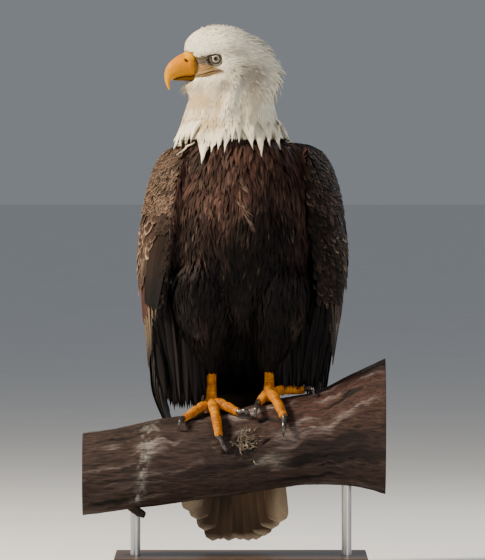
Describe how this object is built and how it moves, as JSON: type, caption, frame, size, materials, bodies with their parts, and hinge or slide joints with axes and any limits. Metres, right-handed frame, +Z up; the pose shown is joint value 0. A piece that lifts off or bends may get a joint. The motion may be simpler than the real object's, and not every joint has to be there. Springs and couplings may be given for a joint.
{
  "type": "perched bald eagle museum model",
  "caption": "Life-size perched bald eagle with folded wings and head turned to its right, on a cut length of bare branch held by a plain display stand.",
  "frame": {"origin": "centre of the base's underside, on the floor, with the branch's middle above it", "axes": "+Z up, the bird's chest faces -Y, its own left is +X, its head is turned to its right (-X)"},
  "size_m": [0.43, 0.28, 0.7709],
  "materials": {
    "white_feather": "matte white feathers, faintly cream",
    "brown_feather": "matte dark brown feathers with paler edges",
    "flight_feather": "brown-black flight feathers with a soft sheen",
    "tail_feather": "white tail feathers, cream with a dusky brown centre underneath",
    "bill": "smooth yellow horn, satin gloss",
    "eye": "wet, pale grey-cream iris with a round black pupil and a dark rim",
    "foot_skin": "scaly orange-yellow skin, satin",
    "claw": "black horn, semi-gloss",
    "branch": "bare weathered wood, grey-brown with a fine long grain",
    "stand_base": "plain painted board, satin",
    "stand_rod": "plain round rod, satin"
  },
  "bodies": {
    "root": {"bill_lower": "bill", "bill_upper": "bill", "cere": "bill", "claw_left_hind": "claw", "claw_left_inner": "claw", "claw_left_middle": "claw", "claw_left_outer": "claw", "claw_right_hind": "claw", "claw_right_inner": "claw", "claw_right_middle": "claw", "claw_right_outer": "claw", "eye_left": "eye", "eye_right": "eye", "foot_left": "foot_skin", "foot_right": "foot_skin", "head": "white_feather", "neck": "white_feather", "perch": "branch", "primaries_left": "flight_feather", "primaries_right": "flight_feather", "stand_base": "stand_base", "stand_rod_left": "stand_rod", "stand_rod_right": "stand_rod", "tail": "tail_feather", "thigh_left": "brown_feather", "thigh_right": "brown_feather", "toe_left_hind": "foot_skin", "toe_left_inner": "foot_skin", "toe_left_middle": "foot_skin", "toe_left_outer": "foot_skin", "toe_right_hind": "foot_skin", "toe_right_inner": "foot_skin", "toe_right_middle": "foot_skin", "toe_right_outer": "foot_skin", "trunk": "brown_feather", "wing_left": "brown_feather", "wing_right": "brown_feather"}
  },
  "joints": []
}
